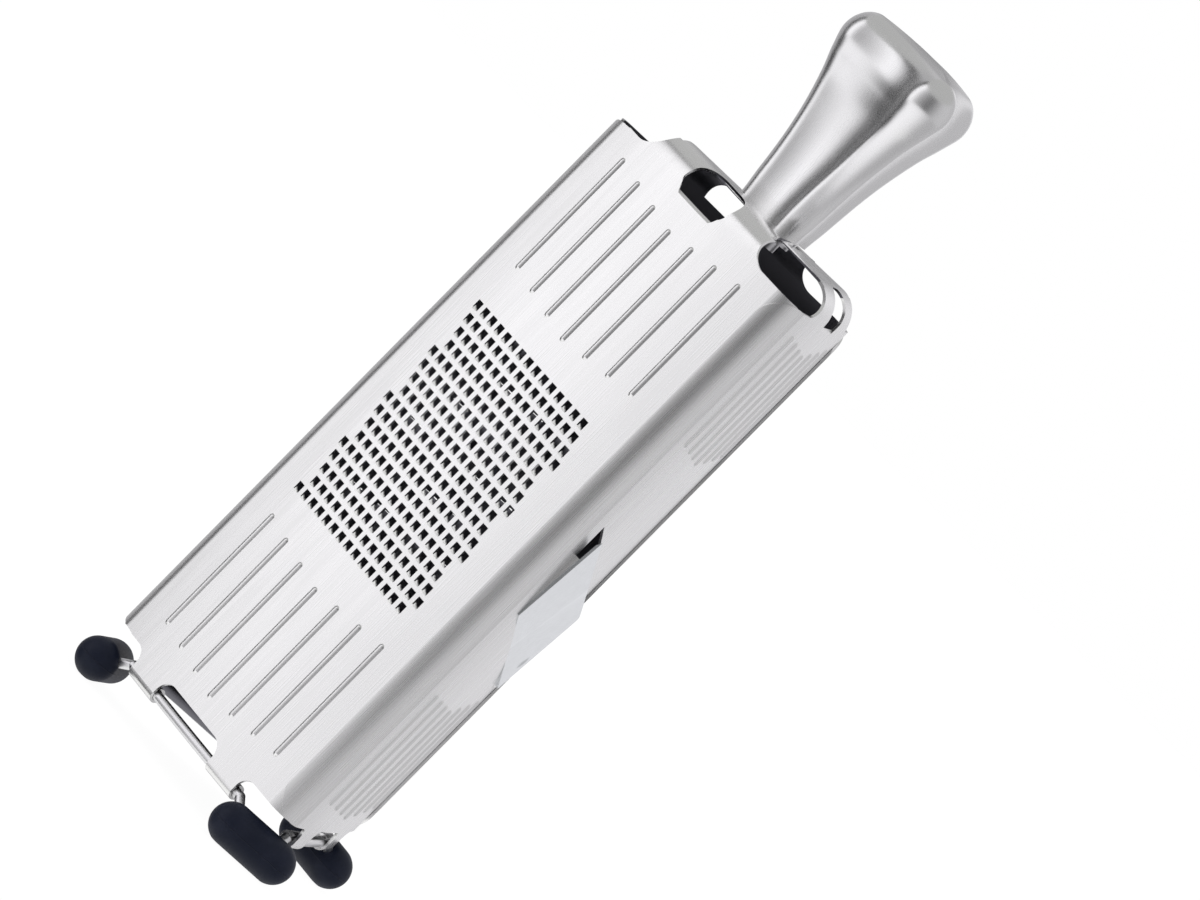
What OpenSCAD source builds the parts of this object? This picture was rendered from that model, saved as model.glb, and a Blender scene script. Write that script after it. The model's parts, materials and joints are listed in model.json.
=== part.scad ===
// Three-sided tower grater that stands on a wire base with rubber feet.
// The origin lies on the three-fold axis, level with the bottom of the feet. +Z points up to the handle.
// Panel 0 (fine teeth) faces -Y. Panels 1 (slicer) and 2 (coarse) follow at 120 degrees each.

/* [Sheet metal] */
// Thickness of the steel sheet
sheet_t = 0.8; // [0.6:0.1:0.9]
// Gap between two overlapping layers of sheet
layer_gap = 0.1; // [0.05:0.05:0.2]

/* [Body] */
// Distance between the centres of two corner rolls
corner_pitch = 79; // [77:0.5:84]
// Outer radius of the flange that wraps over a corner
flange_r = 6.8; // [6.5:0.1:7.4]
// Radius of the slight outward bow of each face
face_r = 500; // [450:10:800]
// Height of the lower edge of the panels
low_edge_z = 17.6; // [17:0.1:18.5]
// Height of the shoulders of the panels
high_edge_z = 214; // [208:1:225]
// Radius of the rounded ends of a flange
arch_r = 9.1; // [6:0.1:10]
// Radius of the rounded ends of the fine panel's flange
fine_arch_r = 14; // [9:0.1:15]

/* [Top tabs] */
// Outer radius of the bend of the lowest tab
tab_bend_r = 7.3; // [7:0.1:8]
// Height from the shoulders to the start of the bend
tab_rise = 0.5; // [0.3:0.1:1]
// Half width of a tab above its fillets
tab_half_w = 24.4; // [24:0.1:26]
// Half width of a tab where its flat part starts
tab_neck_half_w = 23.2; // [21:0.1:24]
// Radius of the fillets between a tab and the shoulders
tab_fillet_r = 8; // [5:0.1:8]
// Radius of the disc at the end of each tab
hub_r = 8; // [7.5:0.1:9]
// Half width of the slot in each bend
slot_half_w = 10.3; // [8:0.1:11]
// Radius of the upper corners of the slot
slot_corner_r = 7.5; // [5:0.1:8]

/* [Beads] */
// Number of beads in a group
bead_count = 7; // [3:2:7]
// Distance between two beads
bead_pitch = 10; // [8:0.5:10.5]
// Length of a bead
bead_l = 43.2; // [30:0.1:46]
// Width of a bead where it leaves the sheet
bead_w = 2; // [1.6:0.1:2.4]
// Height of a bead over the sheet
bead_h = 0.5; // [0.3:0.05:0.6]
// Height that each bead gains over its inner neighbour
bead_step = 1.3; // [0:0.1:2]
// Distance from the shoulders down to the middle bead of the upper group
bead_high_drop = 10.4; // [8:0.1:14]
// Distance from the lower edge up to the middle bead of the lower group
bead_low_rise = 5.1; // [4:0.1:8]

/* [Fine teeth] */
// Teeth in a row
tooth_columns = 15; // [8:1:15]
// Rows of teeth
tooth_rows = 17; // [6:1:17]
// Distance between two teeth in a row
tooth_pitch_x = 4; // [3.6:0.1:4.2]
// Distance between two rows
tooth_pitch_z = 4.4; // [4:0.1:4.6]
// Width of the opening over a tooth
tooth_hole_w = 2.45; // [2:0.05:2.8]
// Height of the opening over a tooth
tooth_hole_h = 2.75; // [2.3:0.05:3]
// Height of a tooth's tip over the lower rim of its opening
tooth_tip_h = 0.95; // [0.8:0.05:1.4]
// How far a tooth's tip stands out of the sheet
tooth_tip_out = 0.85; // [0.6:0.05:1.2]
// Height of the middle of the grating fields over the lower edge
field_rise = 97.4; // [92:0.1:104]

/* [Coarse teeth] */
// Coarse teeth in a full row
coarse_columns = 5; // [3:1:5]
// Rows of coarse teeth
coarse_rows = 6; // [3:1:6]
// Distance between two coarse teeth in a row
coarse_pitch_x = 12; // [11:0.1:12.5]
// Distance between two rows of coarse teeth
coarse_pitch_z = 12; // [11.5:0.1:13]
// Outer radius of a coarse tooth's hood
hood_r = 3.8; // [3.4:0.1:4]
// Thickness of the hood
hood_t = 0.7; // [0.6:0.05:0.8]
// Lean of the hood out of the panel, in degrees
hood_lean = 22; // [18:1:24]

/* [Slicer] */
// Half width of the slicing window
window_half_w = 31.2; // [28:0.1:32]
// Height of the slicing window
window_h = 33.5; // [30:0.1:38]
// Slope of the window and the blade, in degrees
window_slope = 22; // [14:1:23]
// Length of the blade along the panel
blade_l = 30.1; // [27:0.1:31]
// Thickness of the blade
blade_t = 0.8; // [0.6:0.1:0.9]
// Lean of the blade out of the panel, in degrees
blade_lean = 4.6; // [3:0.1:5]
// Turn of the blade out of the panel at its lower end, in degrees
blade_turn = 2; // [1:0.1:2.2]
// Length of the ramp under the blade
ramp_l = 22.5; // [16:0.1:25]

/* [Wire base] */
// Diameter of the base wire
wire_d = 3; // [2.6:0.1:3.4]
// Height of the wire where it lies in the hems
wire_z = 12; // [11.5:0.1:12.8]
// Gap between the wire and the hem that wraps it
hem_gap = 0.1; // [0.05:0.05:0.2]
// Half width of the lower strip that carries the hems
strip_half_w = 28; // [25:0.1:29]
// Half width of the cut-out between the two hems of a panel
cutout_half_w = 15.5; // [10:0.1:18]
// Distance from the axis to the centre line of a foot
foot_reach = 48.5; // [47:0.1:52]
// Bend radius of the wire inside a foot
loop_r = 7.3; // [7:0.1:8]

/* [Feet] */
// Radius of a rubber foot
foot_r = 6.4; // [5.8:0.1:7]
// Half distance between the two round ends of a foot
foot_half_l = 8; // [7:0.1:10]
// Depth of the flat under each foot
foot_flat = 0.3; // [0.2:0.05:0.5]
// Gap between the wire and the rubber
foot_gap = 0.05; // [0.03:0.01:0.1]

/* [Handle] */
// Length of the flared part of the handle
handle_flare_l = 52.6; // [45:0.1:60]
// Height of the rounded end over the flared part
handle_end_h = 10; // [8:0.1:12]
// Distance from the axis to the centre of a lobe at the wide end
lobe_reach = 18.4; // [16:0.1:21]
// Radius of a lobe at the wide end
lobe_r = 7.5; // [6.5:0.1:8.5]
// Wall of the hollow handle
handle_wall = 0.9; // [0.6:0.1:1.1]

/* [Clamp] */
// Diameter of the screw that holds the handle
screw_d = 5; // [4:0.5:6]
// Radius of the screw's head
screw_head_r = 4.6; // [4.2:0.1:5.5]
// Height of the screw's head
screw_head_h = 3; // [2:0.1:4]
// Radius of the washer under the tabs
washer_r = 7; // [6:0.1:8]
// Thickness of the washer
washer_t = 1; // [0.8:0.1:1.5]
// Radius of the threaded plug in the handle
plug_r = 6.6; // [6:0.1:6.8]
// Height of the threaded plug
plug_h = 12; // [8:0.5:15]
// Gap round the screw in its holes
screw_gap = 0.1; // [0.05:0.05:0.2]

/* [Hidden] */
$fn = 48;

// Sides of the very large circles of the faces, and of the small round ends of beads and wire
face_fn = 1080;
bead_fn = 20;
wire_fn = 32;
// One overrun for every cut
over = 1;
panels = 3;
panel_turn = 360 / panels;
fine_index = 0;
slicer_index = 1;
coarse_index = 2;

// Corner rolls of panel 0, seen from outside: left (L) and right (R)
half_pitch = corner_pitch / 2;
corner_back = corner_pitch / (2 * sqrt(3));
under_r = flange_r - sheet_t - layer_gap;
// Centre of the bowed face, which is tangent to both corner rolls
arc_x = (under_r - flange_r) * (2 * face_r - flange_r - under_r) / (4 * half_pitch);
arc_y = sqrt(pow(face_r - flange_r, 2) - pow(arc_x + half_pitch, 2)) - corner_back;
left_turn = atan2(-corner_back - arc_y, -half_pitch - arc_x);
right_turn = atan2(-corner_back - arc_y, half_pitch - arc_x);
// How far the flange and the layer under it wrap round their corners
flange_wrap = 108.5;
under_wrap = 80;
panel_h = high_edge_z - low_edge_z;

// Place of the outer surface, or of a layer inset mm under it, at a distance x from the panel's middle
function face_y(x, inset = 0) = arc_y - sqrt(pow(face_r - inset, 2) - pow(x - arc_x, 2));
face_mid_y = face_y(0);

// Wire and hems
wire_r = wire_d / 2;
hem_in = wire_r + hem_gap;
hem_out = hem_in + sheet_t;
hem_wrap = 300;
wire_arc_r = face_r - hem_out;
strip_fillet_r = 4;
cutout_rise = 0.1;
cutout_corner_r = 4.5;
// The corner loops start this far outside the hems and are folded down to the feet
fold_x = strip_half_w + wire_r + 0.2 * wire_r;
knot_r = wire_r + 0.03 * wire_r;
foot_z = foot_r - foot_flat;
corner_turn = -30;

// Overlap of the rolled corners with the face: they are a hair thicker, so that no surfaces coincide
seam = 0.003;
seam_turn = 0.5;

// Tabs: their bends lie over each other, and each is one sheet larger than the one under it. The fine panel's is on top.
bend_z = high_edge_z + tab_rise;
function tab_r(k) = tab_bend_r + (panels - 1 - k) * sheet_t;
function tab_top(k) = bend_z + tab_r(k);
tab_low_z = tab_top(coarse_index) - sheet_t;
handle_z = tab_top(fine_index);
slot_low_corner_r = 2;
slot_end_share = 0.84;
hub_hole_r = screw_d / 2 + screw_gap;
// The sides of a tab run into its hub disc at a slant: they touch a circle with this share of its radius
hub_aim_share = 0.95;

// Beads: round ridges whose centre line lies under the surface
bead_r = (pow(bead_w / 2, 2) + pow(bead_h, 2)) / (2 * bead_h);
bead_sink = bead_r - bead_h;
bead_side = (bead_count - 1) / 2;

// Fine teeth: four rows make one step of the pattern
tooth_shift = tooth_pitch_x / 4;
tooth_cycle = 4;
tooth_t = 0.4;
tooth_root = 0.3;
tooth_side_gap = 0.1;
tooth_base_w = tooth_hole_w - 2 * tooth_side_gap;
tooth_lean = atan2(tooth_tip_out, tooth_tip_h + tooth_root);
tooth_l = norm([tooth_tip_out, tooth_tip_h + tooth_root]);
// Outline of a tooth, as shares of half its width and of its length
tooth_shares = [[-1, -0.15], [1, -0.15], [0.78, 0.24], [0.36, 0.5], [0, 1], [-0.36, 0.5], [-0.78, 0.24]];
field_z = low_edge_z + field_rise;
tooth_field_shift = 1.1;
tooth_first_x = -(tooth_columns - 1) * tooth_pitch_x / 2 - 1.5 * tooth_shift - tooth_field_shift;
tooth_first_z = field_z + (tooth_rows - 1) * tooth_pitch_z / 2;

// Coarse teeth: the axis of a hood's tube passes this far under the surface, and the tube is cut off above it
hood_sink = 2.6;
hood_mouth_rise = 3.6;
hood_tail = 6;

// Slicer: the blade's frame stands on the window's lower rim
window_drop = 27;
window_low_z = field_z - window_drop;
window_run = tan(window_slope);
rim_sink = 0.15;
rim_y = face_mid_y + rim_sink;
blade_side_gap = 0.2;
blade_rim_gap = 0.1;
blade_half_w = window_half_w - blade_side_gap;
blade_corner_r = 3;
blade_bevel_l = 1.6;
blade_bevel_edge = 0.12;
ramp_root = 2;
cheek_t = sheet_t;
cheek_depth = 4 * sheet_t;
dimple_r = 2.4;
dimple_depth = 0.25;
dimple_x = 25.5;
dimple_rise = 8.5;

// Handle: shares of lobe_reach and lobe_r at equal steps from the base to the wide end
lobe_reach_shares = [0.516, 0.543, 0.582, 0.639, 0.707, 0.785, 0.878, 0.965, 1];
lobe_r_shares = [0.56, 0.613, 0.629, 0.627, 0.64, 0.68, 0.733, 0.86, 1];
// Depth of the hollow flanks, as a share of the straight edge between two lobes
flank_share = 0.93;
// Height and turn of the rounded end's edge, before its crown
end_round_share = 0.88;
end_turn = 78;
end_steps = 7;
crown_shares = [0.75, 0.45, 0.2];
flare_steps = 2 * (len(lobe_r_shares) - 1);
lobe_sides = 8;
flank_sides = 6;

// Sheet swept along a panel's bowed face: the outline has the distance from the bow's centre as x, height as y
module face_sweep() {
    translate([arc_x, arc_y, 0])
        rotate([0, 0, left_turn])
            rotate_extrude(angle = right_turn - left_turn, $fn = face_fn) children();
}

// Sector of sheet rolled round a corner of the panel. It overruns both edges of the panel and is cut off with them.
module corner_roll(x, outer_r, from, wrap) {
    translate([x, -corner_back, 0])
        rotate([0, 0, from])
            rotate_extrude(angle = wrap)
                translate([outer_r - sheet_t - seam, low_edge_z - over / 2])
                    square([sheet_t + 2 * seam, panel_h + over]);
}

// Prism along Y through the face as far back as y, from an outline seen from the front
module through_face(y = -corner_back) {
    translate([0, y, 0]) rotate([90, 0, 0]) linear_extrude(half_pitch + flange_r) children();
}

// What the rounded end of a flange leaves off, seen along the middle of its wrap
module arch_cut(z, up, r) {
    free_side = -arch_r / 2;
    translate([-half_pitch, -corner_back, z])
        rotate([0, 0, left_turn - flange_wrap + asin(arch_r / (2 * flange_r))])
            mirror([0, 0, up ? 0 : 1])
                rotate([90, 0, 90])
                    linear_extrude(2 * flange_r)
                        difference() {
                            translate([free_side - over, -r]) square([r + over, r + over]);
                            translate([free_side + r, -r]) circle(r = r);
                        }
}

// Section of a panel through its bowed face, with the distance from the bow's centre as x and the height as y:
// the hem rolled round the wire, the face, and the bend with the tab on top
module panel_section(k) {
    r = tab_r(k);
    flat_l = face_r - r - arc_y + hub_r + over;
    translate([face_r - sheet_t, wire_z]) square([sheet_t, bend_z - wire_z]);
    translate([wire_arc_r, wire_z]) difference() {
        circle(r = hem_out);
        circle(r = hem_in);
        polygon([[0, 0], [2 * hem_out, 0], [2 * hem_out, 2 * hem_out * tan(360 - hem_wrap)]]);
    }
    translate([face_r - r, bend_z]) {
        intersection() {
            difference() {
                circle(r = r);
                circle(r = r - sheet_t);
            }
            square(2 * r);
        }
        translate([-flat_l, r - sheet_t]) square([flat_l, sheet_t]);
    }
}

// Front outline of what is cut away at the sides of the lower strip
module strip_sides() {
    low = wire_z - hem_out - over;
    for (side = [-1, 1]) {
        translate([side * (strip_half_w + strip_fillet_r), low_edge_z - strip_fillet_r]) circle(r = strip_fillet_r);
        mirror([side > 0 ? 0 : 1, 0]) {
            translate([strip_half_w, low]) square([corner_pitch, low_edge_z - strip_fillet_r - low]);
            translate([strip_half_w + strip_fillet_r, low]) square([corner_pitch, low_edge_z - low]);
        }
    }
}

// Front outline of the cut-out over the bare wire
module cutout_outline() {
    low = wire_z - hem_out - over;
    high = low_edge_z + cutout_rise;
    corner = cutout_corner_r;
    translate([-cutout_half_w, low]) square([2 * cutout_half_w, high - corner - low]);
    translate([-cutout_half_w + corner, low]) square([2 * (cutout_half_w - corner), high - low]);
    for (side = [-1, 1]) translate([side * (cutout_half_w - corner), high - corner]) circle(r = corner);
}

// Front outline of what is cut away at the sides of a tab's bend
module bend_sides() {
    top = handle_z + over;
    flare = tab_fillet_r;
    for (side = [-1, 1]) mirror([side > 0 ? 0 : 1, 0]) {
        translate([tab_half_w + flare, high_edge_z + flare]) circle(r = flare);
        polygon([[tab_half_w + flare, high_edge_z], [corner_pitch, high_edge_z], [corner_pitch, top],
            [tab_neck_half_w, top], [tab_neck_half_w, bend_z + tab_bend_r], [tab_half_w, high_edge_z + flare],
            [tab_half_w + flare, high_edge_z + flare]]);
    }
}

// Top outline of what is cut away beside the flat part of a tab, which narrows from its neck to the hub disc
module plan_sides() {
    neck_y = face_mid_y + tab_bend_r;
    reach = norm([tab_neck_half_w, neck_y]);
    aim_r = hub_aim_share * hub_r;
    tangent_turn = atan2(neck_y, tab_neck_half_w) + acos(aim_r / reach);
    hub_x = aim_r * cos(tangent_turn);
    hub_y = aim_r * sin(tangent_turn);
    difference() {
        translate([-corner_pitch, neck_y]) square([2 * corner_pitch, 2 * hub_r - neck_y]);
        circle(r = hub_r);
        polygon([[-tab_neck_half_w, neck_y], [tab_neck_half_w, neck_y], [hub_x, hub_y], [-hub_x, hub_y]]);
    }
}

// Outline of the slot in a bend of radius r, seen square on to the middle of the bend
module slot_outline(r) {
    low = -r / sqrt(2);
    high = -low * slot_end_share;
    for (side = [-1, 1]) {
        translate([side * (slot_half_w - slot_corner_r), high - slot_corner_r]) circle(r = slot_corner_r);
        translate([side * (slot_half_w - slot_low_corner_r), low + slot_low_corner_r]) circle(r = slot_low_corner_r);
    }
    translate([-slot_half_w, low + slot_low_corner_r])
        square([2 * slot_half_w, high - slot_corner_r - low - slot_low_corner_r]);
    translate([slot_corner_r - slot_half_w, low]) square([2 * (slot_half_w - slot_corner_r), high - low]);
    translate([slot_low_corner_r - slot_half_w, low])
        square([2 * (slot_half_w - slot_low_corner_r), slot_low_corner_r + over]);
}

// Slot through the bend of panel k, cut along the line that halves the bend
module slot_cut(k) {
    r = tab_r(k);
    translate([0, face_mid_y + r, bend_z])
        rotate([45, 0, 0])
            translate([0, 0, r / 2]) linear_extrude(r) slot_outline(r);
}

// Bead: a round-ended ridge standing on z = 0
module bead() {
    straight = bead_l - 2 * bead_r;
    translate([0, 0, bead_r]) cylinder(h = straight, r = bead_r, $fn = bead_fn);
    for (z = [bead_r, bead_l - bead_r]) translate([0, 0, z]) sphere(r = bead_r, $fn = bead_fn);
}

// Two groups of beads, cut off inside the sheet
module beads() {
    difference() {
        for (i = [-bead_side:bead_side]) {
            x = i * bead_pitch;
            rise = abs(i) * bead_step;
            translate([x, face_y(x) + bead_sink, high_edge_z - bead_high_drop - bead_l + rise]) bead();
            translate([x, face_y(x) + bead_sink, low_edge_z + bead_low_rise + rise]) bead();
        }
        translate([arc_x, arc_y, low_edge_z]) cylinder(h = panel_h, r = face_r - sheet_t / 2, $fn = face_fn);
    }
}

// Blank of panel k: bowed face, rolled corners, hemmed strip below and slotted tab above
module panel_blank(k) {
    end_r = k == fine_index ? fine_arch_r : arch_r;
    difference() {
        union() {
            face_sweep() panel_section(k);
            corner_roll(-half_pitch, flange_r, left_turn - flange_wrap, flange_wrap + seam_turn);
            corner_roll(half_pitch, under_r, right_turn - seam_turn, under_wrap + seam_turn);
        }
        through_face(flange_r - corner_back) strip_sides();
        if (k != coarse_index) through_face() cutout_outline();
        through_face(flange_r - corner_back) bend_sides();
        translate([0, 0, high_edge_z]) linear_extrude(2 * tab_bend_r) plan_sides();
        slot_cut(k);
        cylinder(h = 2 * handle_z, r = hub_hole_r);
        arch_cut(high_edge_z, true, end_r);
        arch_cut(low_edge_z, false, end_r);
    }
    beads();
}

// Place of a fine tooth's lower rim
function tooth_x(row, column) = tooth_first_x + column * tooth_pitch_x + (row % tooth_cycle) * tooth_shift;
function tooth_z(row) = tooth_first_z - row * tooth_pitch_z - tooth_hole_h / 2;

// One fine tooth: a pointed plate that leans out of the sheet, rooted below its opening
module tooth() {
    translate([0, 0, -tooth_root])
        rotate([90 + tooth_lean, 0, 0])
            translate([0, 0, -tooth_t])
                linear_extrude(tooth_t)
                    polygon([for (p = tooth_shares) [p[0] * tooth_base_w / 2, p[1] * tooth_l]]);
}

module fine_panel() {
    color("gainsboro") {
        difference() {
            panel_blank(fine_index);
            for (row = [0:tooth_rows - 1], column = [0:tooth_columns - 1])
                translate([tooth_x(row, column) - tooth_hole_w / 2, face_mid_y - over, tooth_z(row)])
                    cube([tooth_hole_w, sheet_t + 3 * over, tooth_hole_h]);
        }
        for (row = [0:tooth_rows - 1], column = [0:tooth_columns - 1]) {
            x = tooth_x(row, column);
            translate([x, face_y(x), tooth_z(row)]) tooth();
        }
    }
}

// Tube of a coarse tooth: it leans out of the panel and ends at its mouth, rise over the tooth's middle
module hood_tube(r, rise) {
    intersection() {
        translate([0, hood_sink, 0])
            rotate([hood_lean, 0, 0])
                translate([0, 0, -2 * hood_tail]) cylinder(h = 4 * hood_tail, r = r);
        translate([-hood_tail, -hood_tail, -2 * hood_tail]) cube([2 * hood_tail, 3 * hood_tail, 2 * hood_tail + rise]);
    }
}

module coarse_panel() {
    color("gainsboro")
        rotate([0, 0, coarse_index * panel_turn])
            difference() {
                union() {
                    panel_blank(coarse_index);
                    difference() {
                        coarse_places() hood_tube(hood_r, hood_mouth_rise);
                        translate([arc_x, arc_y, low_edge_z])
                            cylinder(h = panel_h, r = face_r - sheet_t / 2, $fn = face_fn);
                    }
                }
                coarse_places() hood_tube(hood_r - hood_t, hood_mouth_rise + over / 2);
            }
}

// Puts a copy of its children at every coarse tooth
module coarse_places() {
    for (row = [0:coarse_rows - 1]) {
        teeth = coarse_columns - row % 2;
        for (i = [0:teeth - 1]) {
            x = (i - (teeth - 1) / 2) * coarse_pitch_x;
            z = field_z + (row - (coarse_rows - 1) / 2) * coarse_pitch_z;
            translate([x, face_y(x), z]) children();
        }
    }
}

// Parallelogram with the slicer's slope: x from -w to w, lower side through low at x = 0
module sloped_outline(w, low, h) {
    polygon([[-w, low + w * window_run], [w, low - w * window_run],
        [w, low + h - w * window_run], [-w, low + h + w * window_run]]);
}

// Frame of the blade: X along the rim, Y up the blade, Z out of the panel
module blade_frame() {
    translate([0, rim_y, window_low_z])
        rotate([0, 0, -blade_turn])
            rotate([90 + blade_lean, 0, 0]) children();
}

// Ramp under the blade, its root in the window's lower rim, and the cheeks at its sides
module slicer_ramp() {
    blade_frame() translate([0, 0, -blade_t - sheet_t]) linear_extrude(sheet_t)
        sloped_outline(window_half_w, -ramp_root / 2, ramp_l + ramp_root / 2);
    intersection() {
        blade_frame() translate([0, 0, -blade_t - sheet_t / 2]) linear_extrude(blade_t + over)
            sloped_outline(window_half_w, -ramp_root, ramp_root - blade_rim_gap);
        translate([arc_x, arc_y, 0]) cylinder(h = high_edge_z, r = face_r - sheet_t / 4, $fn = face_fn);
    }
    for (side = [-1, 1]) difference() {
        blade_frame() translate([side * window_half_w - cheek_t / 2, -side * window_half_w * window_run, 0])
            translate([0, 0, -blade_t - cheek_depth]) linear_extrude(cheek_depth)
                polygon([[0, 0], [cheek_t, -cheek_t * window_run],
                    [cheek_t, ramp_l - cheek_t * window_run], [0, ramp_l]]);
        translate([arc_x, arc_y, 0]) cylinder(h = high_edge_z, r = face_r - 3 * sheet_t / 4, $fn = face_fn);
    }
}

module slicer_panel() {
    color("gainsboro")
        rotate([0, 0, slicer_index * panel_turn]) {
            difference() {
                panel_blank(slicer_index);
                through_face() sloped_outline(window_half_w, window_low_z, window_h);
            }
            slicer_ramp();
        }
}

// Flat blade on the ramp, ground to an edge at its upper side
module slicing_blade() {
    color("lightsteelblue")
        rotate([0, 0, slicer_index * panel_turn])
            blade_frame()
                difference() {
                    translate([0, 0, -blade_t]) linear_extrude(blade_t) blade_outline();
                    blade_bevel();
                    translate([dimple_x, dimple_rise - dimple_x * window_run, 0])
                        scale(dimple_r) translate([0, 0, dimple_lift_share()]) sphere(r = dimple_ball_share());
                }
}

// A ball that cuts a dimple one unit wide: its radius and how far its centre lies over the surface
function dimple_ball_share() = (1 + pow(dimple_depth / dimple_r, 2)) / (2 * dimple_depth / dimple_r);
function dimple_lift_share() = dimple_ball_share() - dimple_depth / dimple_r;

// Blade outline with its upper right corner rounded
module blade_outline() {
    corner_x = blade_half_w - blade_corner_r;
    difference() {
        sloped_outline(blade_half_w, 0, blade_l);
        translate([corner_x, blade_l - corner_x * window_run - blade_corner_r / cos(window_slope)])
            difference() {
                square(2 * blade_corner_r);
                circle(r = blade_corner_r);
            }
    }
}

// What the grinding of the cutting edge takes off the back of the blade
module blade_bevel() {
    translate([0, blade_l, 0])
        rotate([0, 0, -window_slope])
            rotate([0, -90, 0])
                linear_extrude(4 * blade_half_w, center = true)
                    polygon([[-blade_bevel_edge, 0], [-blade_bevel_edge, over],
                        [-blade_t - over, over], [-blade_t - over, -blade_bevel_l * (1 + over / blade_t)]]);
}

// Straight round rod from p to q
module rod(p, q, r) {
    d = q - p;
    translate(p) rotate([0, acos(d[2] / norm(d)), atan2(d[1], d[0])])
        cylinder(h = norm(d), r = r, $fn = wire_fn);
}

// Fold points at the right end of one hem line and the left end of the next, seen from the corner between them
function on_wire(x) = [x, arc_y - sqrt(pow(wire_arc_r, 2) - pow(x - arc_x, 2)), wire_z];
function turned(p, a) = [p[0] * cos(a) - p[1] * sin(a), p[0] * sin(a) + p[1] * cos(a), p[2]];
fold_right = turned(on_wire(fold_x), -corner_turn);
fold_left = turned(on_wire(-fold_x), panel_turn - corner_turn);
fold_reach = (fold_right[0] + fold_left[0]) / 2;
fold_half = (fold_left[1] - fold_right[1]) / 2;
fold_drop = atan2(wire_z - foot_z, foot_reach - fold_reach);
loop_reach = norm([wire_z - foot_z, foot_reach - fold_reach]) - loop_r;
loop_wrap = 180 - atan2(fold_half, loop_reach) - acos(loop_r / norm([loop_reach, fold_half]));

// Point on the folded loop, at an angle from its foot end
function loop_point(a) = [
    fold_reach + (loop_reach + loop_r * cos(a)) * cos(fold_drop),
    loop_r * sin(a),
    wire_z - (loop_reach + loop_r * cos(a)) * sin(fold_drop)];

// Wire loop of the corner on +X, folded down to its foot, with wire radius r
module corner_loop(r) {
    knot = r + knot_r - wire_r;
    rod(fold_right, loop_point(-loop_wrap), r);
    rod(fold_left, loop_point(loop_wrap), r);
    for (p = [fold_right, fold_left, loop_point(-loop_wrap), loop_point(loop_wrap)])
        translate(p) sphere(r = knot, $fn = wire_fn);
    translate([fold_reach, 0, wire_z])
        rotate([0, fold_drop, 0])
            translate([loop_reach, 0, 0])
                rotate([0, 0, -loop_wrap])
                    rotate_extrude(angle = 2 * loop_wrap) translate([loop_r, 0]) circle(r = r, $fn = wire_fn);
}

module base_wire() {
    start = asin((-fold_x - arc_x) / wire_arc_r);
    end = asin((fold_x - arc_x) / wire_arc_r);
    color("silver")
        for (k = [0:panels - 1]) rotate([0, 0, k * panel_turn]) {
            translate([arc_x, arc_y, wire_z])
                rotate([0, 0, start - 90])
                    rotate_extrude(angle = end - start, $fn = face_fn)
                        translate([wire_arc_r, 0]) circle(r = wire_r, $fn = wire_fn);
            rotate([0, 0, corner_turn]) corner_loop(wire_r);
        }
}

// Rubber foot on the corner that lies at an angle from +X
module foot(turn) {
    color("midnightblue")
        rotate([0, 0, turn])
            difference() {
                translate([foot_reach, 0, foot_z]) {
                    rotate([90, 0, 0]) cylinder(h = 2 * foot_half_l, r = foot_r, center = true);
                    for (side = [-1, 1]) translate([0, side * foot_half_l, 0]) sphere(r = foot_r);
                }
                translate([foot_reach - 2 * foot_r, -2 * foot_half_l, -foot_r])
                    cube([4 * foot_r, 4 * foot_half_l, foot_r]);
                corner_loop(wire_r + foot_gap);
            }
}

// Smooth value at t steps into a table
function at(table, i) = table[min(max(i, 0), len(table) - 1)];
function smooth(table, t) =
    let (i = min(floor(t), len(table) - 2), u = t - i)
    let (a = at(table, i - 1), b = at(table, i), c = at(table, i + 1), d = at(table, i + 2))
    b + (c - a) * u / 2 + (2 * a - 5 * b + 4 * c - d) * u * u / 2 + (3 * b - a - 3 * c + d) * u * u * u / 2;

// Sections of the handle, each [height, lobe distance, lobe radius, flank distance], inset by a wall
function section(z, reach, r, wall) = [z, reach, r - wall, flank_share * (reach / 2 + r) - wall];
function flare_sections(wall) = [for (i = [0:flare_steps])
    let (t = i * (len(lobe_r_shares) - 1) / flare_steps)
    section(handle_flare_l * i / flare_steps, lobe_reach * smooth(lobe_reach_shares, t),
        lobe_r * smooth(lobe_r_shares, t), wall)];
function end_sections(wall) = [for (i = [1:end_steps])
    let (a = end_turn * i / end_steps)
    section(handle_flare_l + (handle_end_h * end_round_share - wall) * sin(a), lobe_reach, lobe_r,
        wall + (lobe_r - wall) * (1 - cos(a)))];
function crown_sections() =
    let (edge = end_sections(0)[end_steps - 1])
    let (rise = handle_flare_l + handle_end_h - edge[0])
    [for (s = crown_shares) [edge[0] + rise * (1 - s * s), edge[1] * s, edge[2] * s, edge[3] * s]];

// Ring of points round a section: for each lobe its round end and the hollow flank after it
function ring(s) =
    let (d = s[1], r = s[2], h = s[3])
    let (f = (h * h + d * d - d * h - r * r) / (d + 2 * r - 2 * h))
    let (g = h + f)
    let (a = atan2(g * sin(60), g * cos(60) - d))
    [for (k = [0:panels - 1])
        each concat(
            [for (i = [0:lobe_sides]) let (t = a * (2 * i / lobe_sides - 1))
                turned([d + r * cos(t), r * sin(t), s[0]], k * panel_turn)],
            [for (i = [1:flank_sides - 1]) let (t = (a - 60) * (1 - 2 * i / flank_sides))
                turned([g - f * cos(t), -f * sin(t), s[0]], k * panel_turn + 60)])];

// Faces between the rings of a skin of n points a ring, from ring a to ring b, seen from outside
function skin_faces(a, b, n) = [for (j = [a:b - 1], i = [0:n - 1]) each [
    [j * n + i, (j + 1) * n + i, (j + 1) * n + (i + 1) % n],
    [j * n + i, (j + 1) * n + (i + 1) % n, j * n + (i + 1) % n]]];

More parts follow.
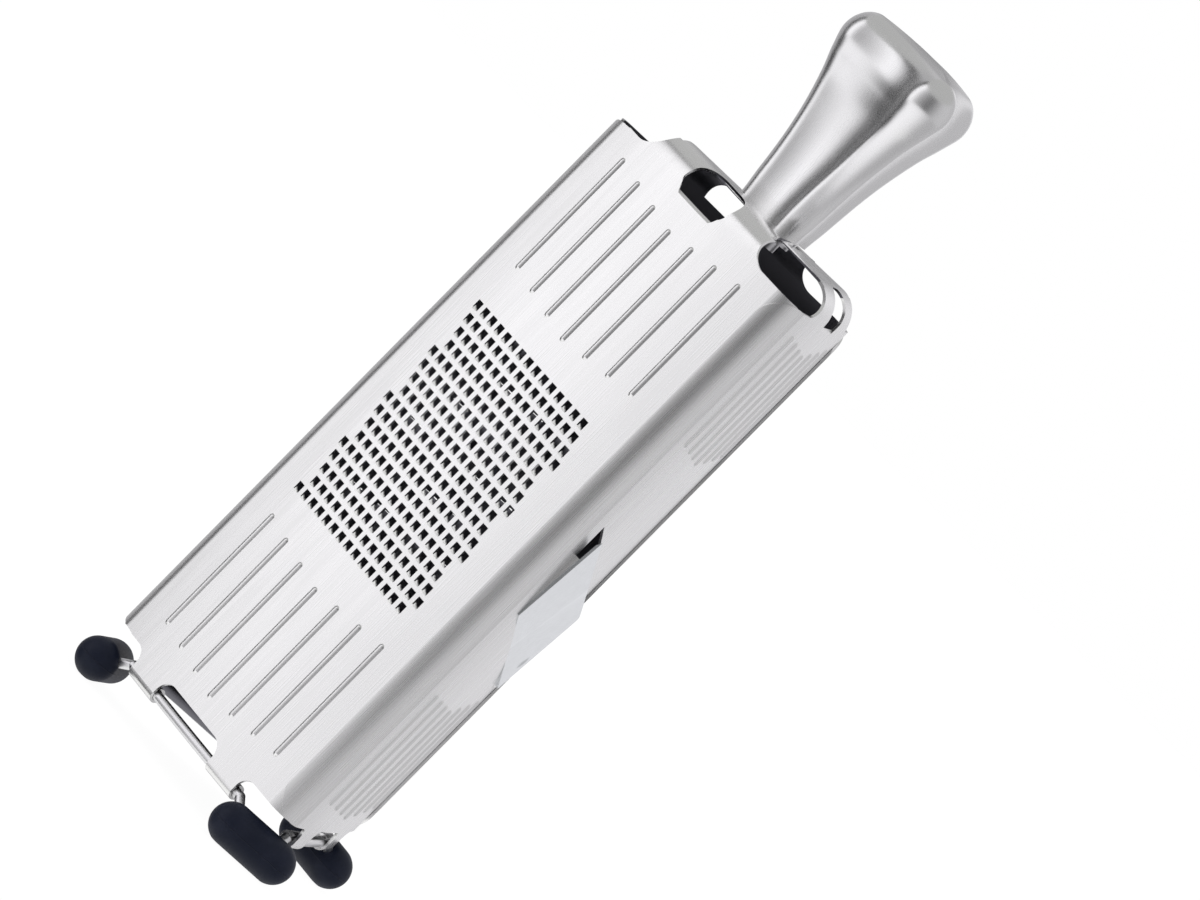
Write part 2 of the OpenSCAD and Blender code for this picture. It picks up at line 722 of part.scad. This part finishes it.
// Hollow three-lobed handle, open below. Its lobes stand over the corners.
// The skin runs up the outside, and then from the inside of the top down to the inside of the base.
module handle_shell() {
    outside = concat(flare_sections(0), end_sections(0), crown_sections());
    inside = concat(flare_sections(handle_wall), end_sections(handle_wall));
    rings = concat([for (s = outside) ring(s)], [for (i = [len(inside) - 1:-1:0]) ring(inside[i])]);
    n = len(rings[0]);
    split = len(outside);
    last = len(rings);
    tips = [[0, 0, handle_flare_l + handle_end_h], [0, 0, inside[len(inside) - 1][0]]];
    points = concat([for (r = rings) each r], tips);
    faces = concat(
        skin_faces(0, split - 1, n),
        skin_faces(split, last - 1, n),
        [for (i = [0:n - 1]) [(split - 1) * n + (i + 1) % n, (split - 1) * n + i, last * n]],
        [for (i = [0:n - 1]) [split * n + i, split * n + (i + 1) % n, last * n + 1]],
        [for (i = [0:n - 1]) each [
            [(last - 1) * n + i, i, (i + 1) % n],
            [(last - 1) * n + i, (i + 1) % n, (last - 1) * n + (i + 1) % n]]]);
    color("silver")
        translate([0, 0, handle_z])
            rotate([0, 0, corner_turn]) polyhedron(points = points, faces = faces);
}

module handle_plug() {
    color("darkgray")
        translate([0, 0, handle_z])
            difference() {
                cylinder(h = plug_h, r = plug_r);
                translate([0, 0, -over]) cylinder(h = plug_h + 2 * over, r = hub_hole_r);
            }
}

// Screw from below: its head under the washer, its shank up into the plug
module clamp_screw() {
    head_z = tab_low_z - washer_t;
    color("silver") {
        translate([0, 0, head_z]) cylinder(h = handle_z + plug_h - screw_d / 2 - head_z, r = screw_d / 2);
        difference() {
            translate([0, 0, head_z - screw_head_h]) cylinder(h = screw_head_h, r = screw_head_r);
            translate([0, 0, head_z - screw_head_h - over])
                cylinder(h = screw_head_h / 2 + over, r = screw_d / 3, $fn = 6);
        }
    }
}

module clamp_washer() {
    color("silver")
        translate([0, 0, tab_low_z - washer_t])
            difference() {
                cylinder(h = washer_t, r = washer_r);
                translate([0, 0, -over]) cylinder(h = washer_t + 2 * over, r = hub_hole_r);
            }
}

fine_panel();
slicer_panel();
coarse_panel();
slicing_blade();
base_wire();
foot(-corner_turn + 180);  // foot_left
foot(corner_turn);  // foot_right
foot(90);  // foot_rear
handle_shell();
handle_plug();
clamp_screw();
clamp_washer();
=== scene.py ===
"""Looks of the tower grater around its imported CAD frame.

Metals and rubber for the CAD pieces, a finer skin for the handle, the studio and the camera.
"""

import json
import math

import bpy
from mathutils import Matrix, Vector


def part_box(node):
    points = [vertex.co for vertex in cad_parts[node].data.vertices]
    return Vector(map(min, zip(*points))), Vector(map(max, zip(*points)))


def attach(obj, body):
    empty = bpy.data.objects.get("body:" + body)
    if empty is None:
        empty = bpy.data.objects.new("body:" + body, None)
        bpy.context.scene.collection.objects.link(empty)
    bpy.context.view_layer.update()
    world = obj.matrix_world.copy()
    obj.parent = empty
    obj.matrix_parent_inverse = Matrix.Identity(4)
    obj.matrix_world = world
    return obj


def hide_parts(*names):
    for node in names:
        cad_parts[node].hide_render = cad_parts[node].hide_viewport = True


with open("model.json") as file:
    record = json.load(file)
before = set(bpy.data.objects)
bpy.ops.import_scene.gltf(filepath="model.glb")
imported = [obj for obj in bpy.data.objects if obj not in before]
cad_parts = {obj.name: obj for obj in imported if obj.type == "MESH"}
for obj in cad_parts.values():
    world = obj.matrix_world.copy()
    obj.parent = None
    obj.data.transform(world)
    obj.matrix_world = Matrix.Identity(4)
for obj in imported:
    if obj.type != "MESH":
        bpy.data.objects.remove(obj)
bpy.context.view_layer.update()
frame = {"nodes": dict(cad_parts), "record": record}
nodes = frame["nodes"]
scene = bpy.context.scene
MM = 0.001

# Materials


class Shader:
    """A node material with one Principled shader, and short calls for the nodes that feed it."""

    def __init__(self, name, metallic, roughness, **fixed):
        self.material = bpy.data.materials.new(name)
        self.material.use_nodes = True
        self.tree = self.material.node_tree
        self.bsdf = self.tree.nodes["Principled BSDF"]
        self.bsdf.inputs["Metallic"].default_value = metallic
        self.bsdf.inputs["Roughness"].default_value = roughness
        for key, value in fixed.items():
            self.bsdf.inputs[key.replace("_", " ")].default_value = value

    def node(self, kind, **settings):
        made = self.tree.nodes.new(kind)
        for key, value in settings.items():
            setattr(made, key, value)
        return made

    def feed(self, socket, value):
        """Links the value when it is a socket, and sets it otherwise."""
        if isinstance(value, bpy.types.NodeSocket):
            self.tree.links.new(value, socket)
        else:
            socket.default_value = value

    def to(self, name, value):
        self.feed(self.bsdf.inputs[name], value)

    def math(self, operation, *values):
        made = self.node("ShaderNodeMath", operation=operation)
        for socket, value in zip(made.inputs, values):
            self.feed(socket, value)
        return made.outputs[0]

    def place(self):
        return self.node("ShaderNodeTexCoord").outputs["Object"]

    def stretched(self, turn, along):
        """Object coordinates, turned and then scaled along Z, so that a noise in them becomes streaks."""
        turned = self.node("ShaderNodeMapping", vector_type="POINT")
        turned.inputs["Rotation"].default_value = turn
        self.feed(turned.inputs["Vector"], self.place())
        scaled = self.node("ShaderNodeMapping", vector_type="POINT")
        scaled.inputs["Scale"].default_value = (1, 1, along)
        self.feed(scaled.inputs["Vector"], turned.outputs[0])
        return scaled.outputs[0]

    def noise(self, vector, scale, detail, roughness=0.5):
        made = self.node("ShaderNodeTexNoise")
        self.feed(made.inputs["Vector"], vector)
        made.inputs["Scale"].default_value = scale
        made.inputs["Detail"].default_value = detail
        made.inputs["Roughness"].default_value = roughness
        return made.outputs["Fac"]

    def spread(self, value, low, high, start=0.3, end=0.7):
        """Maps a value from start..end to low..high."""
        made = self.node("ShaderNodeMapRange", interpolation_type="SMOOTHSTEP")
        for name, number in zip(("From Min", "From Max", "To Min", "To Max"), (start, end, low, high)):
            made.inputs[name].default_value = number
        self.feed(made.inputs["Value"], value)
        return made.outputs["Result"]

    def blend(self, share, first, second):
        """First colour where share is 0, second where it is 1."""
        made = self.node("ShaderNodeMix", data_type="RGBA")
        self.feed(made.inputs["Factor"], share)
        self.feed(made.inputs[6], first)
        self.feed(made.inputs[7], second)
        return made.outputs[2]

    def bump(self, height, depth):
        made = self.node("ShaderNodeBump")
        made.inputs["Distance"].default_value = depth
        self.feed(made.inputs["Height"], height)
        self.to("Normal", made.outputs[0])


def grey(level, tint=(1.0, 1.0, 1.0)):
    return (level * tint[0], level * tint[1], level * tint[2], 1.0)


# Noise scales per metre, how much each noise is shortened along the streaks, and its share of the streaks
FINE_SCALE, FINE_ALONG, FINE_SHARE = 5200, 0.012, 0.6
WIDE_SCALE, WIDE_ALONG, WIDE_SHARE = 420, 0.05, 0.4
CLOUD_SCALE, CLOUD_ROUGHNESS, CLOUD = 22, 0.55, 0.02
# The tone runs from the darkest to the brightest share of the metal's level, and 0.5 is the level itself
DARKEST_SHARE, BRIGHTEST_SHARE, MIDDLE = 0.7, 1.3, 0.5
SMOOTHER, ROUGHER = 0.02, 0.03
ANISOTROPY = 0.35


def brushed(name, level, tint, roughness, streak_turn=(0, 0, 0), streak=0.012, depth=0.0007 * MM):
    """Metal with fine streaks along its turned Z axis and soft cloudiness."""
    shader = Shader(name, 1.0, roughness, Anisotropic=ANISOTROPY)
    fine = shader.noise(shader.stretched(streak_turn, FINE_ALONG), FINE_SCALE, 2.0)
    wide = shader.noise(shader.stretched(streak_turn, WIDE_ALONG), WIDE_SCALE, 3.0)
    cloud = shader.noise(shader.place(), CLOUD_SCALE, 4.0, CLOUD_ROUGHNESS)
    fine_part = shader.math("MULTIPLY", fine, FINE_SHARE)
    wide_part = shader.math("MULTIPLY", wide, WIDE_SHARE)
    streaks = shader.math("ADD", fine_part, wide_part)
    shade = shader.math("ADD", shader.spread(streaks, -streak, streak), shader.spread(cloud, -CLOUD, CLOUD))
    tone = shader.math("ADD", shade, MIDDLE)
    dark, bright = grey(DARKEST_SHARE * level, tint), grey(BRIGHTEST_SHARE * level, tint)
    shader.to("Base Color", shader.blend(tone, dark, bright))
    shader.to("Roughness", shader.spread(streaks, roughness - SMOOTHER, roughness + ROUGHER))
    shader.bump(streaks, depth)
    return shader.material


FOOT_Z = 6.1 * MM
SEAM_HALF_W, SEAM_FADE = 0.06 * MM, 0.22 * MM
RUBBER_GRAIN_SCALE, RUBBER_DUST_SCALE = 3600, 90
RUBBER_CLEAN = (0.0105, 0.0155, 0.034, 1.0)
RUBBER_DUSTY = (0.0205, 0.026, 0.050, 1.0)
RUBBER_SMOOTH, RUBBER_ROUGH = 0.42, 0.58
GRAIN_SHARE, RUBBER_DEPTH = 0.15, 0.12 * MM


def rubber(name):
    """Satin rubber with fine grain, a little dust, and its mould's parting line at mid height of the feet."""
    shader = Shader(name, 0.0, 0.5, Specular_IOR_Level=0.22)
    grain = shader.noise(shader.place(), RUBBER_GRAIN_SCALE, 2.0)
    dust = shader.noise(shader.place(), RUBBER_DUST_SCALE, 4.0, 0.6)
    dusty = shader.spread(dust, 0.0, 1.0, 0.35, 0.75)
    shader.to("Base Color", shader.blend(dusty, RUBBER_CLEAN, RUBBER_DUSTY))
    shader.to("Roughness", shader.spread(grain, RUBBER_SMOOTH, RUBBER_ROUGH))
    height = shader.node("ShaderNodeSeparateXYZ")
    shader.feed(height.inputs[0], shader.place())
    off_seam = shader.math("ABSOLUTE", shader.math("SUBTRACT", height.outputs[2], FOOT_Z))
    seam = shader.spread(off_seam, 1.0, 0.0, SEAM_HALF_W, SEAM_FADE)
    shader.bump(shader.math("ADD", shader.math("MULTIPLY", grain, GRAIN_SHARE), seam), RUBBER_DEPTH)
    return shader.material


BLADE_SLOPE = math.radians(22)
SLICER_TURN = math.radians(120)
ALONG_BLADE = (0, math.pi / 2 - BLADE_SLOPE, -SLICER_TURN)
LYING = (math.pi / 2, 0, 0)
MATERIALS = {
    "brushed_sheet": brushed("brushed_sheet", 0.88, (1.0, 1.0, 0.99), 0.27),
    # A darker, bluish, rougher copy of the sheet metal: painted shade for the faces inside the body and the
    # hoods behind the coarse holes
    "sheet_inside_painted_shade": brushed("sheet_inside_painted_shade", 0.2, (0.94, 0.93, 1.04), 0.45),
    "ground_blade": brushed("ground_blade", 0.8, (0.95, 0.985, 1.0), 0.2, streak_turn=ALONG_BLADE),
    "steel_wire": brushed("steel_wire", 0.8, (1.0, 1.0, 1.01), 0.3, streak=0.03),
    "foot_rubber": rubber("foot_rubber"),
    "handle_steel": brushed("handle_steel", 0.84, (1.0, 1.0, 0.995), 0.26, streak=0.025),
    "fastener_steel": brushed("fastener_steel", 0.62, (1.0, 1.0, 1.02), 0.3, streak_turn=LYING),
}
SLOTS = {row["node"]: row["material_slot"] for row in frame["record"]["subparts"]}
SHARP = math.radians(35)


def finish_with(piece, slot):
    """Gives a piece its slot's material and smooth shading with crisp edges."""
    piece.data.materials.clear()
    piece.data.materials.append(MATERIALS[slot])
    piece.data.shade_smooth()
    piece.data.set_sharp_from_angle(angle=SHARP)


for name, node in nodes.items():
    finish_with(node, SLOTS[name])

# Inner sides of the sheet, painted with shade: a darker copy of the sheet metal on the faces that look into
# the body

PANEL_TURNS = {"fine_panel": 0, "slicer_panel": 120, "coarse_panel": 240}
HALF_PITCH, CORNER_BACK = 39.5 * MM, 22.805 * MM
TAB_Z = 216.5 * MM
HOOD_HALF_W, HOOD_LOW, HOOD_HIGH = 29 * MM, 80 * MM, 155 * MM
INWARD = 0.5
HOOD_INWARD = -0.25


def faces_inside(centre, normal, hooded):
    """Whether a face of the first panel faces into the body, where a darker copy of the sheet metal paints
    the shade inside it.
    """
    if hooded and abs(centre.x) < HOOD_HALF_W and HOOD_LOW < centre.z < HOOD_HIGH:
        return normal.y > HOOD_INWARD
    if centre.z > TAB_Z and normal.z < -INWARD:
        return True
    if abs(centre.x) < HALF_PITCH and centre.y < -CORNER_BACK:
        return normal.y > INWARD
    corner = Vector((math.copysign(HALF_PITCH, centre.x), -CORNER_BACK))
    return (centre.xy - corner).normalized().dot(normal.xy) < -INWARD


# Faces that look into the body, tab undersides and the insides of the coarse hoods get the darker copy of the
# metal, as painted shade
for name, degrees in PANEL_TURNS.items():
    mesh = nodes[name].data
    mesh.materials.append(MATERIALS["sheet_inside_painted_shade"])
    turned_back = Matrix.Rotation(math.radians(-degrees), 3, "Z")
    for polygon in mesh.polygons:
        centre, normal = turned_back @ polygon.center, turned_back @ polygon.normal
        polygon.material_index = int(faces_inside(centre, normal, name == "coarse_panel"))

# Handle skin, in millimetres above the foot of the handle. Its hollows are a little deeper than the solid's.

LOBES = 3
SIXTH = math.pi / 3
FIRST_LOBE_TURN = math.radians(-30)
FLARE_L, END_H = 52.6, 10.0
LOBE_REACH, LOBE_R, WALL = 18.4, 7.5, 0.9
REACH_SHARES = (0.516, 0.543, 0.582, 0.639, 0.707, 0.785, 0.878, 0.965, 1.0)
RADIUS_SHARES = (0.56, 0.613, 0.629, 0.627, 0.64, 0.68, 0.733, 0.86, 1.0)
FLANK_SHARE = 0.845
END_ROUND_SHARE = 0.88
END_TURN = math.radians(78)
FLARE_STEPS, END_STEPS, LOBE_STEPS, FLANK_STEPS = 80, 22, 26, 20
CROWN_SHARES = (0.86, 0.7, 0.52, 0.34, 0.17)


def smooth(table, steps):
    """Value at some steps into a table, on a curve through all its values that levels out at the last one."""
    i = min(int(steps), len(table) - 2)
    u = steps - i
    mirrored = table + table[-2:-1]
    a, b, c, d = (mirrored[max(i + k, 0)] for k in (-1, 0, 1, 2))
    return (b + (c - a) * u / 2 + (2 * a - 5 * b + 4 * c - d) * u * u / 2
            + (3 * b - a - 3 * c + d) * u ** 3 / 2)


def section(height, reach, lobe_r, inset):
    """One section of the handle: height, lobe distance, lobe radius and flank distance."""
    return height, reach, lobe_r - inset, FLANK_SHARE * (reach / 2 + lobe_r) - inset


def side_sections(wall):
    """Sections from the foot of the handle up to the crown, set in by the wall."""
    steps = len(REACH_SHARES) - 1
    sections = []
    for i in range(FLARE_STEPS + 1):
        reach = LOBE_REACH * smooth(REACH_SHARES, steps * i / FLARE_STEPS)
        lobe_r = LOBE_R * smooth(RADIUS_SHARES, steps * i / FLARE_STEPS)
        sections.append(section(FLARE_L * i / FLARE_STEPS, reach, lobe_r, wall))
    for i in range(1, END_STEPS + 1):
        turn = END_TURN * i / END_STEPS
        height = FLARE_L + (END_H * END_ROUND_SHARE - wall) * math.sin(turn)
        sections.append(section(height, LOBE_REACH, LOBE_R, wall + (LOBE_R - wall) * (1 - math.cos(turn))))
    return sections


def crown_sections(edge):
    """Shrinking sections from the last rounded one to the middle of the top."""
    height, *plan = edge
    top = END_H + FLARE_L
    return [(height + (top - height) * (1 - s * s), *(size * s for size in plan)) for s in CROWN_SHARES]


def turned(x, y, turn):
    """A point turned about the axis."""
    return x * math.cos(turn) - y * math.sin(turn), x * math.sin(turn) + y * math.cos(turn)


def ring(entry, base_z):
    """Points round a section: for each lobe its round end and the hollow flank after it."""
    height, reach, lobe_r, flank = entry
    hollow_r = ((flank * flank + reach * reach - reach * flank - lobe_r * lobe_r)
                / (reach + 2 * lobe_r - 2 * flank))
    hollow_reach = flank + hollow_r
    half_turn = math.atan2(hollow_reach * math.sin(SIXTH), hollow_reach * math.cos(SIXTH) - reach)
    plan = []
    for i in range(LOBE_STEPS + 1):
        turn = half_turn * (2 * i / LOBE_STEPS - 1)
        plan.append((reach + lobe_r * math.cos(turn), lobe_r * math.sin(turn)))
    for i in range(1, FLANK_STEPS):
        turn = (half_turn - SIXTH) * (1 - 2 * i / FLANK_STEPS)
        plan.append(turned(hollow_reach - hollow_r * math.cos(turn), -hollow_r * math.sin(turn), SIXTH))
    points = []
    for k in range(LOBES):
        for point in plan:
            x, y = turned(*point, FIRST_LOBE_TURN + 2 * math.pi * k / LOBES)
            points.append(Vector((x * MM, y * MM, base_z + height * MM)))
    return points


def handle_skin():
    """Closed hollow skin: up the outside, over the crown, and down the inside to the base."""
    base_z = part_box("handle_shell")[0].z
    outside, inside = side_sections(0.0), side_sections(WALL)
    outside += crown_sections(outside[-1])
    rings = [ring(entry, base_z) for entry in outside + inside[::-1]]
    count, split = len(rings[0]), len(outside)
    vertices = [point for points in rings for point in points]
    tip_out, tip_in = len(vertices), len(vertices) + 1
    vertices += [Vector((0, 0, base_z + (FLARE_L + END_H) * MM)), Vector((0, 0, rings[split][0].z))]
    faces = []
    for j in range(len(rings)):
        above = (j + 1) % len(rings)
        for i in range(count):
            after = (i + 1) % count
            if j == split - 1:
                faces.append((j * count + i, j * count + after, tip_out))
                faces.append((split * count + after, split * count + i, tip_in))
            else:
                faces.append((j * count + i, j * count + after, above * count + after, above * count + i))
    mesh = bpy.data.meshes.new("handle_skin")
    mesh.from_pydata(vertices, [], faces)
    mesh.validate()
    piece = bpy.data.objects.new("handle_skin", mesh)
    scene.collection.objects.link(piece)
    finish_with(piece, "handle_steel")
    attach(piece, "root")
    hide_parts("handle_shell")


handle_skin()

# Studio


def emitter(name, strength):
    """A material that only glows, with its node tree and its emission node."""
    material = bpy.data.materials.new(name)
    material.use_nodes = True
    tree = material.node_tree
    tree.nodes.remove(tree.nodes["Principled BSDF"])
    emission = tree.nodes.new("ShaderNodeEmission")
    emission.inputs["Strength"].default_value = strength
    tree.links.new(emission.outputs[0], tree.nodes["Material Output"].inputs["Surface"])
    return material, tree, emission


# The wall of the light tent: share of the turn from -X through -Y and +X to +Y, and how bright it is there.
# The dark parts are the room seen past the camera and past the left of the tent.
TENT_LEVELS = (
    (0.0, 0.5), (0.03, 0.45), (0.045, 0.03), (0.092, 0.03), (0.104, 1.1), (0.12, 1.3), (0.148, 1.24),
    (0.168, 0.98), (0.20, 0.66), (0.235, 0.48), (0.27, 0.36), (0.31, 0.24), (0.345, 0.19), (0.38, 0.20),
    (0.42, 0.30), (0.46, 0.43), (0.50, 0.55), (0.57, 0.61), (0.64, 0.61), (0.72, 0.55), (0.77, 0.55),
    (0.795, 0.95), (0.82, 0.8), (0.86, 0.32), (0.92, 0.60), (0.97, 0.45),
)
# The same for what lies low: the white table, and the dark floor of the room beside it
TABLE_LEVELS = (
    (0.0, 0.3), (0.03, 0.05), (0.08, 0.03), (0.11, 0.05), (0.15, 0.9), (0.18, 1.1), (0.25, 1.1), (0.36, 1.0),
    (0.45, 0.7), (0.52, 0.5), (0.62, 0.48), (0.75, 0.58), (0.80, 0.7), (0.85, 0.4), (0.90, 0.6), (0.95, 0.5),
)
TENT_LIGHT = 1.25
TENT_TINT = (1.0, 0.99, 1.02)
TENT_R, TENT_LOW, TENT_HIGH, TENT_SIDES = 1.6, -1.4, 1.5, 96
TABLE_FROM, TABLE_TO = -0.2, -0.32
CEILING_LEVEL = 0.5


def level_ramp(tree, gradient, levels):
    """Brightness round the tent from a table of (share of the turn, level)."""
    ramp = tree.nodes.new("ShaderNodeValToRGB")
    stops = ramp.color_ramp.elements
    while len(stops) < len(levels):
        stops.new(0.5)
    for stop, (share, level) in zip(stops, levels):
        stop.position = share
        stop.color = grey(level / TENT_LIGHT, TENT_TINT)
    tree.links.new(gradient.outputs["Fac"], ramp.inputs["Fac"])
    return ramp.outputs["Color"]


def tent_wall():
    """Round cloth wall that fades from the tent's levels to the table's below."""
    vertices, faces = [], []
    for i in range(TENT_SIDES):
        x, y = turned(TENT_R, 0.0, 2 * math.pi * i / TENT_SIDES)
        vertices += [(x, y, TENT_LOW), (x, y, TENT_HIGH)]
        after = (i + 1) % TENT_SIDES
        faces.append((2 * i, 2 * i + 1, 2 * after + 1, 2 * after))
    mesh = bpy.data.meshes.new("tent_wall")
    mesh.from_pydata(vertices, [], faces)
    wall = bpy.data.objects.new("tent_wall", mesh)
    material, tree, emission = emitter("tent_wall", TENT_LIGHT)
    coordinates = tree.nodes.new("ShaderNodeTexCoord")
    gradient = tree.nodes.new("ShaderNodeTexGradient")
    gradient.gradient_type = "RADIAL"
    tree.links.new(coordinates.outputs["Object"], gradient.inputs["Vector"])
    height = tree.nodes.new("ShaderNodeSeparateXYZ")
    tree.links.new(coordinates.outputs["Object"], height.inputs[0])
    low = tree.nodes.new("ShaderNodeMapRange")
    low.inputs["From Min"].default_value = TABLE_FROM
    low.inputs["From Max"].default_value = TABLE_TO
    tree.links.new(height.outputs[2], low.inputs["Value"])
    mix = tree.nodes.new("ShaderNodeMix")
    mix.data_type = "RGBA"
    tree.links.new(low.outputs["Result"], mix.inputs["Factor"])
    tree.links.new(level_ramp(tree, gradient, TENT_LEVELS), mix.inputs[6])
    tree.links.new(level_ramp(tree, gradient, TABLE_LEVELS), mix.inputs[7])
    tree.links.new(mix.outputs[2], emission.inputs["Color"])
    mesh.materials.append(material)
    scene.collection.objects.link(wall)
    return wall


def disc(name, radius, height, material):
    """A flat round plate about the axis."""
    bpy.ops.mesh.primitive_circle_add(vertices=TENT_SIDES, radius=radius, fill_type="NGON",
                                      location=(0, 0, height))
    plate = bpy.context.object
    plate.name = name
    plate.data.materials.append(material)
    return plate


def tent():
    """A light tent of wall and dimmer ceiling. Only light and reflections see it."""
    ceiling = disc("tent_ceiling", TENT_R, TENT_HIGH, emitter("tent_ceiling", CEILING_LEVEL)[0])
    for cloth in (tent_wall(), ceiling):
        cloth.visible_camera = False
        cloth.visible_shadow = False


def seen_directly(tree):
    """1 for rays that show the background: from the camera, in a reflection or through glass."""
    path = tree.nodes.new("ShaderNodeLightPath")
    seen = path.outputs["Is Camera Ray"]
    for ray in ("Is Glossy Ray", "Is Transmission Ray"):
        either = tree.nodes.new("ShaderNodeMath")
        either.operation = "MAXIMUM"
        tree.links.new(seen, either.inputs[0])
        tree.links.new(path.outputs[ray], either.inputs[1])
        seen = either.outputs[0]
    return seen


FLOOR_R, FLOOR_BELOW = 3.0, 0.2 * MM
FLOOR_GREY, FLOOR_ROUGHNESS = 0.9, 0.9
FLOOR_GLOW, FLOOR_WHITE_SHARE = 1.12, 0.86


def floor():
    """A pale floor that shows as white and keeps a faint shadow."""
    material = bpy.data.materials.new("floor")
    material.use_nodes = True
    tree = material.node_tree
    surface = tree.nodes["Principled BSDF"]
    surface.inputs["Base Color"].default_value = grey(FLOOR_GREY)
    surface.inputs["Roughness"].default_value = FLOOR_ROUGHNESS
    white = tree.nodes.new("ShaderNodeEmission")
    white.inputs["Strength"].default_value = FLOOR_GLOW
    share = tree.nodes.new("ShaderNodeMath")
    share.operation = "MULTIPLY"
    tree.links.new(seen_directly(tree), share.inputs[0])
    share.inputs[1].default_value = FLOOR_WHITE_SHARE
    mix = tree.nodes.new("ShaderNodeMixShader")
    tree.links.new(share.outputs[0], mix.inputs["Fac"])
    tree.links.new(surface.outputs[0], mix.inputs[1])
    tree.links.new(white.outputs[0], mix.inputs[2])
    tree.links.new(mix.outputs[0], tree.nodes["Material Output"].inputs["Surface"])
    plane = disc("floor", FLOOR_R, -FLOOR_BELOW, material)
    plane.visible_glossy = False


SKY_LIGHT, SKY_WHITE = 0.45, 1.0


def sky():
    """White where the background shows, and a plain low level for the light."""
    world = bpy.data.worlds.new("studio")
    scene.world = world
    world.use_nodes = True
    tree = world.node_tree
    background = tree.nodes["Background"]
    strength = tree.nodes.new("ShaderNodeMapRange")
    strength.inputs["To Min"].default_value = SKY_LIGHT
    strength.inputs["To Max"].default_value = SKY_WHITE
    tree.links.new(seen_directly(tree), strength.inputs["Value"])
    background.inputs["Color"].default_value = grey(1.0)
    tree.links.new(strength.outputs["Result"], background.inputs["Strength"])


tent()
floor()
sky()

# Camera: it stands at an azimuth from +X and an elevation round its target, rolled about the line of sight

CAMERA_AZIMUTH = math.radians(-50.4)
CAMERA_ELEVATION = math.radians(4.89)
CAMERA_ROLL = math.radians(44.7)
CAMERA_DISTANCE = 2.76
CAMERA_TARGET = Vector((0.2 * MM, 13.8 * MM, 144.2 * MM))
CAMERA_LENS, CAMERA_SENSOR = 300.0, 36.0
CAMERA_NEAR, CAMERA_FAR = 0.05, 20.0


def photo_camera():
    """The photograph's camera."""
    data = bpy.data.cameras.new("camera")
    data.lens = CAMERA_LENS
    data.sensor_width = CAMERA_SENSOR
    data.clip_start, data.clip_end = CAMERA_NEAR, CAMERA_FAR
    camera = bpy.data.objects.new("camera", data)
    scene.collection.objects.link(camera)
    x, y = turned(math.cos(CAMERA_ELEVATION), 0.0, CAMERA_AZIMUTH)
    outward = Vector((x, y, math.sin(CAMERA_ELEVATION)))
    upright = outward.to_track_quat("Z", "Y").to_matrix().to_4x4()
    place = Matrix.Translation(CAMERA_TARGET + CAMERA_DISTANCE * outward)
    camera.matrix_world = place @ upright @ Matrix.Rotation(CAMERA_ROLL, 4, "Z")
    return camera


scene.camera = photo_camera()
scene.view_settings.view_transform = "Standard"
